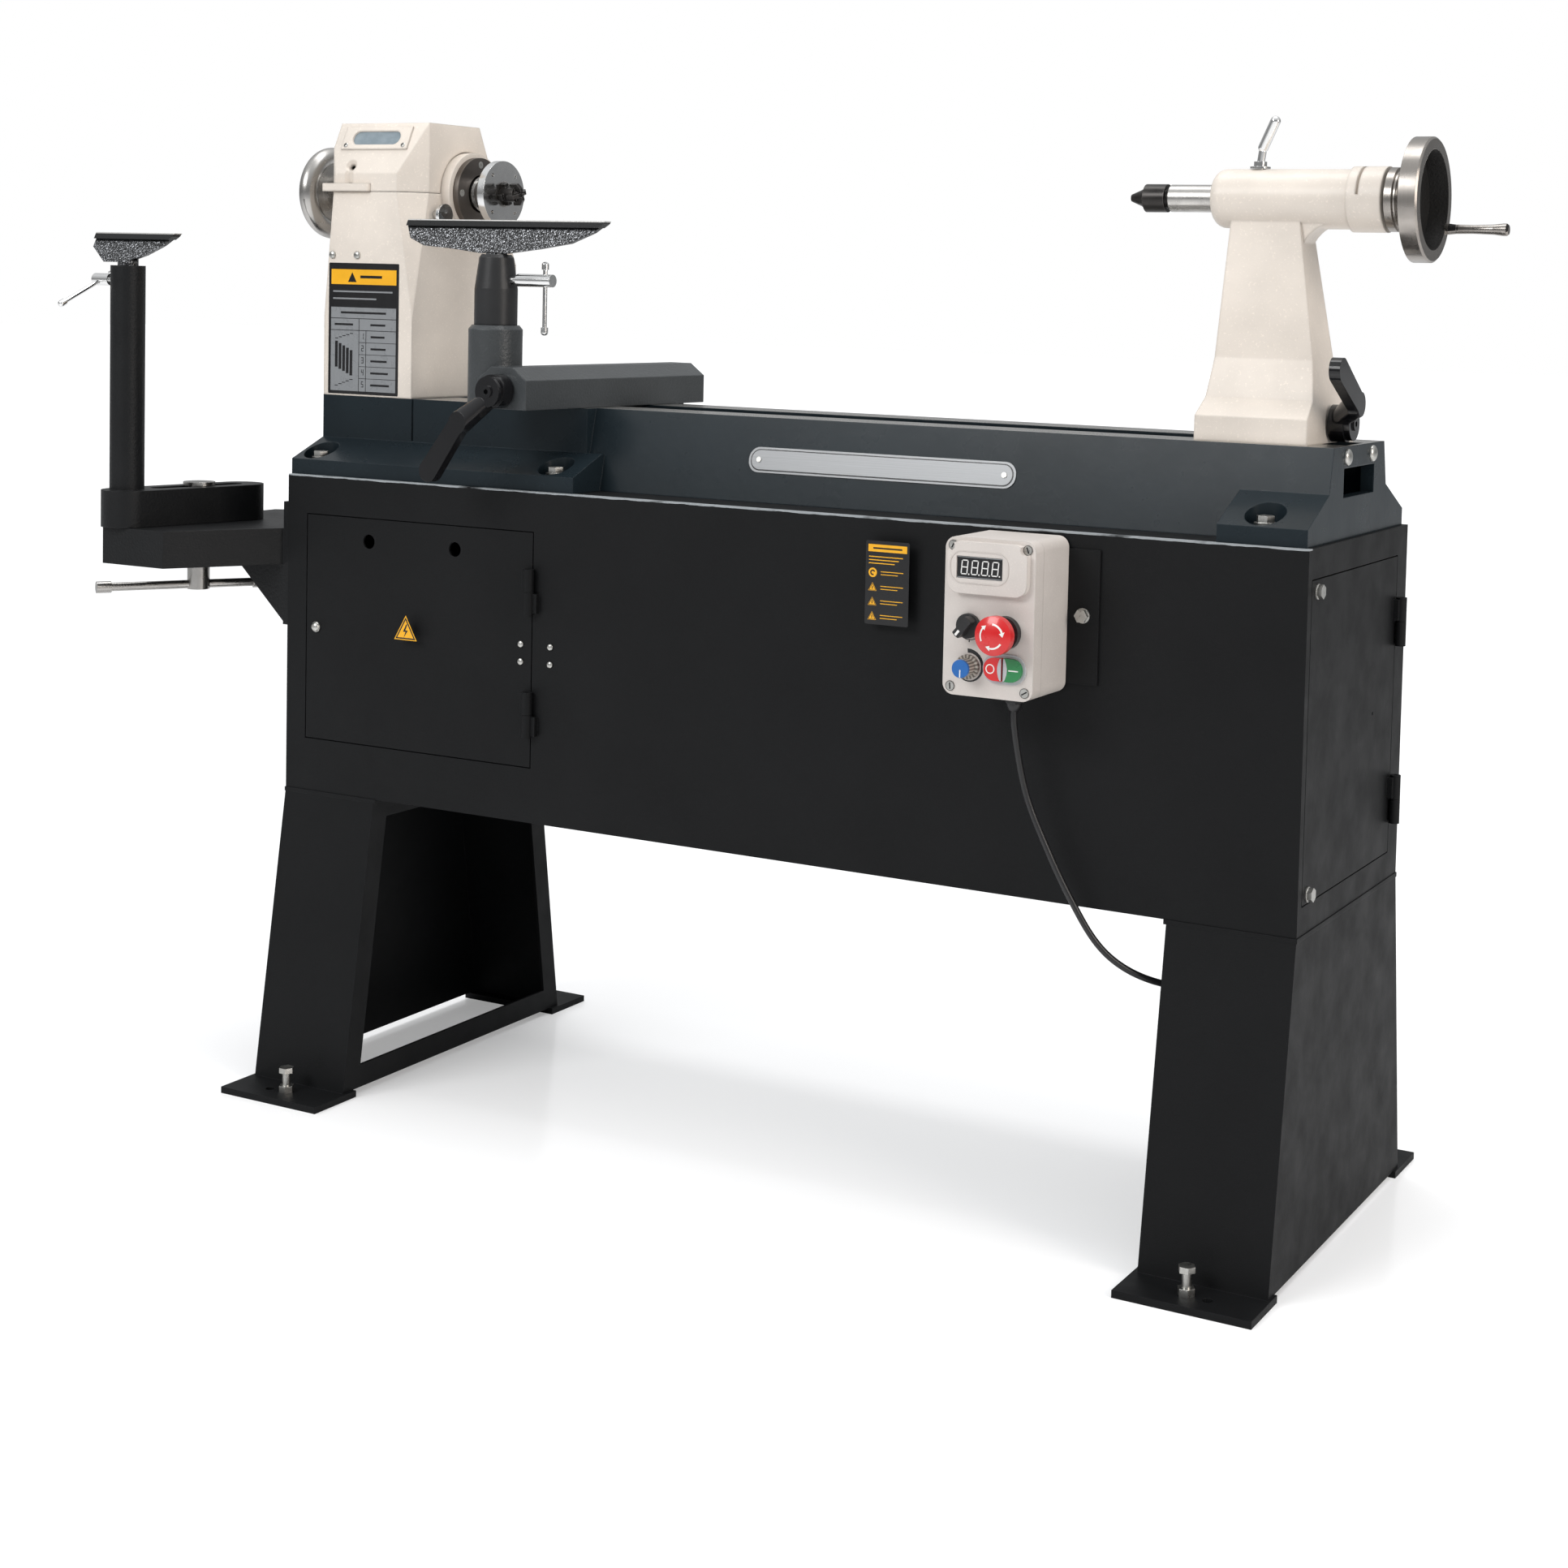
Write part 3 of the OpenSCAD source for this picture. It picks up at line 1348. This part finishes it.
module banjo() {
    color(c_grey) in_banjo() difference() {
        union() {
            translate([0, banjo_rear, 0]) rotate([90, 0, 0]) linear_extrude(banjo_l) banjo_section();
            translate([banjo_post[0], banjo_post[1], banjo_z]) {
                cylinder(r = socket_r, h = socket_z - banjo_z - 5);
                translate([0, 0, socket_z - banjo_z - 5])
                    cylinder(r1 = socket_r, r2 = socket_r - 4, h = 5);
            }
        }
        // hollow underside, open to the bed, where the clamp bolt slides
        slab([-23, banjo_front + 74, banjo_z - over], [23, banjo_rear - 14, cam_z + 18]);
        translate([0, 0, cam_z]) rod_y(cam_r + run_gap, banjo_front - over, banjo_rear - 2);
        translate([banjo_post[0], banjo_post[1], banjo_z + 12])
            cylinder(r = holder_stem_r + run_gap, h = 120);
    }
}

module banjo_lever() {
    in_banjo() translate([0, 0, cam_z]) {
        color(c_black) translate([0, banjo_front - 2, 0]) rotate([90, 0, 0]) rotate([0, 0, 233])
            offset_lever(cam_r - 0.01);
        color(c_steel) translate([0, banjo_front - 2 - lever_hub_h, 0]) rotate([0, 0, -90])
            lever_shaft(banjo_l - 4 + lever_hub_h);
    }
}

module rest_holder() {
    color(c_grey) in_banjo() translate([banjo_post[0], banjo_post[1], 0]) difference() {
        union() {
            translate([0, 0, banjo_z + 13]) cylinder(r = holder_stem_r, h = 100);
            translate([0, 0, socket_z + free_gap]) cylinder(r = holder_r, h = 43);
            translate([0, 0, socket_z + 43]) cylinder(r1 = holder_r, r2 = holder_top_r, h = 37);
            translate([0, 0, socket_z + 80]) cylinder(r1 = holder_top_r, r2 = holder_top_r - 3, h = 4);
        }
        translate([0, 0, banjo_z + 20]) cylinder(r = stem_r + run_gap, h = 300);
        rotate([0, 0, banjo_yaw]) translate([0, 0, clamp_z]) rod_x(5, 0, 40);
    }
}

// Stem of a tool rest from z0 up to its blade; only its rear half rises behind the blade
module rest_stem(z0, z_top, blade_depth) {
    translate([0, 0, z0]) cylinder(r = stem_r, h = z_top - blade_depth + 2 - z0);
    intersection() {
        translate([0, 0, z0]) cylinder(r = stem_r, h = z_top - 16 - z0);
        slab([-stem_r, 3, z0], [stem_r, stem_r, z_top]);
    }
}

module tool_rest() {
    post = banjo_post_world;
    t = rest_top_z;
    outline = [
        [-139, t + 1], [-139, t - 9], [-130, t - 23], [-106, t - 32], [-64, t - 35], [-18, t - 40],
        [18, t - 40], [64, t - 34], [106, t - 27], [136, t - 14], [150, t - 3], [151, t + 1]
    ];
    color(c_black) translate([post[0], post[1], 0]) {
        rest_blade(outline, t, 16);
        rest_stem(way_z + 60, t, 40);
    }
}

module rest_clamp_screw() {
    post = banjo_post_world;
    color(c_chrome) translate([post[0] + holder_top_r + 4, post[1], clamp_z])
        tee_screw(10, 58, 58, 16);
}

// ---------------------------------------------------------------- outboard rest

module table_outline() {
    polygon([[-861, -293], [-760, -293], [-cab_x - plate_t, -165], [-cab_x - plate_t, 105], [-861, 15]]);
}

module outboard_bracket() {
    z0 = table_z - table_t;
    reach = 78;
    color(c_sheet) difference() {
        union() {
            translate([0, 0, z0]) linear_extrude(table_t) table_outline();
            slab([-cab_x - plate_t, -165, table_z - 122], [-cab_x, 112, table_z + 34]);
            // gussets under the table
            for (y = [-165, 60]) translate([0, y, 0]) rotate([90, 0, 0]) translate([0, 0, -12])
                linear_extrude(12) polygon([
                    [-cab_x - 5, z0 + 5], [-cab_x - 5, table_z - 118],
                    [-cab_x - plate_t, table_z - 118], [-cab_x - plate_t - reach, z0 + 1],
                    [-cab_x - plate_t - reach, z0 + 5]
                ]);
        }
        difference() {
            translate([0, 0, z0 - over]) linear_extrude(table_t - 14) offset(delta = -12) table_outline();
            translate([t_bolt[0], t_bolt[1], z0 - 2 * over]) cylinder(r = 26, h = table_t);
        }
        translate([t_bolt[0], t_bolt[1], z0 - over]) cylinder(r = 10 + run_gap, h = table_t + 2 * over);
        bracket_bolts_at() rod_x(m10_hole_r, -plate_t - over, over);
    }
}

module outboard_t_bolt() {
    color(c_steel) translate([t_bolt[0], t_bolt[1], 0]) {
        translate([0, 0, t_bolt_z]) cylinder(r = 10, h = table_z + out_arm_h + 2 - t_bolt_z);
        translate([0, 0, table_z + out_arm_h + free_gap]) cylinder(r = 20, h = 5);
    }
}

module in_outboard_arm() {
    translate([t_bolt[0], t_bolt[1], 0]) rotate([0, 0, arm_dir]) children();
}

module outboard_arm() {
    tail = 60;
    z = table_z + 0.1;
    color(c_grey) in_outboard_arm() difference() {
        union() {
            translate([0, 0, z]) long_disc(-tail, arm_len, out_arm_r, out_arm_h);
            translate([arm_len, 0, z]) cylinder(r = out_post_r, h = out_post_z - z);
        }
        translate([0, 0, z - over]) long_disc(-tail + 8, arm_len - 46, slot_r + 0.2, out_arm_h + 2 * over);
        translate([arm_len, 0, table_z + 60]) cylinder(r = stem_r + run_gap, h = 400);
        translate([arm_len, 0, out_clamp_z]) rotate([0, 0, 180 - arm_dir]) rod_x(5, 0, 40);
    }
}

// A disc stretched along X from x0 to x1
module long_disc(x0, x1, r, h) {
    for (x = [x0, x1]) translate([x, 0, 0]) cylinder(r = r, h = h);
    translate([x0, -r, 0]) cube([x1 - x0, 2 * r, h]);
}

module outboard_clamp_hub() {
    hub_z = table_z - table_t - 41;
    bar_z = hub_z + 6;
    a = [-64, -95, 0];
    b = [42, 63, 0];
    color(c_steel) translate([t_bolt[0], t_bolt[1], 0]) difference() {
        union() {
            translate([0, 0, hub_z]) cylinder(r = 14, h = 40.8);
            translate([0, 0, bar_z]) {
                strut(a, b, 5.5);
                for (s = [[a, 0], [b, 180]]) translate(s[0]) rotate([0, 0, atan2(a[1], a[0]) + s[1]])
                    rod_x(7.5, -6, 12);
            }
        }
        translate([0, 0, t_bolt_z - 1]) cylinder(r = 10 + run_gap, h = 40);
    }
}

module outboard_rest() {
    t = out_rest_z;
    outline = [
        [-61, t + 1], [-61, t - 18], [-33, t - 37], [2, t - 37], [30, t - 28], [54, t - 16],
        [69, t - 4], [72, t + 1]
    ];
    color(c_black) translate([out_post[0], out_post[1], 0]) {
        rest_blade(outline, t, 16);
        rest_stem(way_z - 60, t, 37);
    }
}

module outboard_rest_screw() {
    color(c_chrome) translate([out_post[0] - out_post_r, out_post[1], out_clamp_z])
        mirror([1, 0, 0]) rotate([-65, 0, 0]) tee_screw(8, 34, 70, 18);
}

// ---------------------------------------------------------------- drawing

cabinet();
left_leg();
right_leg();
levelling_bolts();
bed();
bed_stop_bar();
hex_bolts();
small_screws();
hinge_pins();
front_door();
front_door_screws();
side_door();
side_door_bolts();
door_switch();
motor();
motor_bracket();
motor_pulley();
drive_belt();
inverter();
control_box_base();
control_box_cover();
control_box_plate();
control_cable();
estop_button();
direction_switch();
speed_knob();
start_button();
stop_button();
headstock();
headstock_cover();
cover_window();
spindle_bearings();
bearing_cap();
spindle();
spindle_pulley();
faceplate();
drive_centre();
outboard_handwheel();
spindle_lock();
tailstock();
quill();
live_centre();
lead_screw();
tail_handwheel();
quill_lock_lever();
tail_clamp_plate();
tail_clamp_lever();
banjo_clamp_plate();
banjo_clamp_bolt();
banjo();
banjo_lever();
rest_holder();
tool_rest();
rest_clamp_screw();
outboard_bracket();
outboard_t_bolt();
outboard_arm();
outboard_clamp_hub();
outboard_rest();
outboard_rest_screw();
